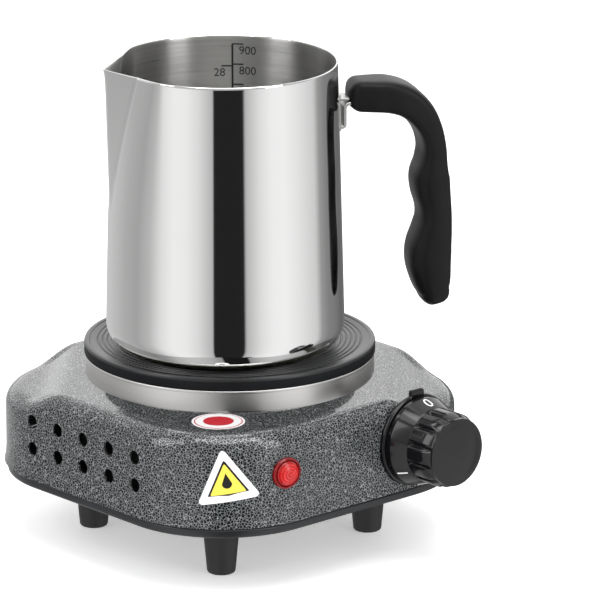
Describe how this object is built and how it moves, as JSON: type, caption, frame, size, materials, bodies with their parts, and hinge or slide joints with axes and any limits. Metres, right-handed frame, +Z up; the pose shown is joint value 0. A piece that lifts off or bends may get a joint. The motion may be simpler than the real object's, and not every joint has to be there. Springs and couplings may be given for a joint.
{
  "type": "candle melting pot",
  "caption": "Spouted steel pouring pot with a black side handle, standing on a small electric hot plate with a turn knob, pilot lamp and rubber feet, for melting wax.",
  "frame": {"origin": "on the table, in the middle of the bounding box; the plate axis stands 8 mm behind it", "axes": "+Z up from the table; -Y is the side with the knob and the lamp; -X is the vented side; +Y is the rear with the cord inlet"},
  "size_m": [0.1659, 0.205, 0.2095],
  "materials": {
    "hammer_paint": "hammertone",
    "black_paint": "satin",
    "feet_rubber": "matte",
    "cast_plate": "turned, blackened",
    "ring_steel": "satin",
    "zinc_steel": "zinc plated",
    "coil_alloy": "oxidised",
    "ceramic": null,
    "shield_steel": "plain",
    "brass_parts": "plain",
    "knob_black": "gloss",
    "lens_red": "clear red",
    "neon_glass": "clear",
    "wire_brown": "plain",
    "wire_blue": "plain",
    "wire_earth": "striped",
    "wire_white": "plain",
    "label_yellow": "printed film",
    "label_white": "printed film",
    "pot_steel": "mirror polished outside, brushed inside",
    "handle_black": "semi-gloss"
  },
  "bodies": {
    "stove": {"housing": "hammer_paint", "base_cover": "black_paint", "foot_fl": "feet_rubber", "foot_fr": "feet_rubber", "foot_rl": "feet_rubber", "foot_rr": "feet_rubber", "foot_screws": "zinc_steel", "cover_posts": "zinc_steel", "hotplate": "cast_plate", "plate_ring": "ring_steel", "plate_stud": "zinc_steel", "element_coil": "coil_alloy", "element_insulation": "ceramic", "element_cover": "zinc_steel", "heat_shield": "shield_steel", "clamp_bridge": "zinc_steel", "clamp_washer": "zinc_steel", "clamp_nut": "zinc_steel", "thermostat_plate": "zinc_steel", "thermostat_body": "ceramic", "thermostat_leaves": "brass_parts", "bimetal_strip": "brass_parts", "thermostat_screws": "zinc_steel", "thermostat_bush": "brass_parts", "bush_nut": "zinc_steel", "knob_bezel": "knob_black", "lamp_lens": "lens_red", "lamp_tube": "neon_glass", "lamp_clip": "zinc_steel", "thermal_fuse": "zinc_steel", "fuse_clip": "zinc_steel", "terminal_block": "ceramic", "terminal_screws": "brass_parts", "earth_tag": "brass_parts", "earth_screw": "zinc_steel", "live_wire": "wire_brown", "switched_wire": "wire_brown", "neutral_wire": "wire_blue", "fuse_wire": "wire_blue", "earth_wire": "wire_earth", "lamp_wires": "wire_white", "cord_bushing": "feet_rubber", "warning_label": "label_yellow", "round_label": "label_white"},
    "knob_set": {"knob": "knob_black", "knob_spindle": "zinc_steel"},
    "pot": {"pot_shell": "pot_steel", "handle_bracket": "ring_steel", "handle_grip": "handle_black", "handle_screw": "zinc_steel", "handle_nut": "zinc_steel"}
  },
  "joints": [
    {"name": "knob_turn", "type": "hinge", "parent": "stove", "child": "knob_set", "pos_m": [0.0315, -0.09, 0.053], "axis": [0, 1, 0], "range_deg": [0, 270]},
    {"name": "pot_lift", "type": "slide", "parent": "stove", "child": "pot", "axis": [0, 0, 1], "range_m": [0, 0.15]}
  ]
}
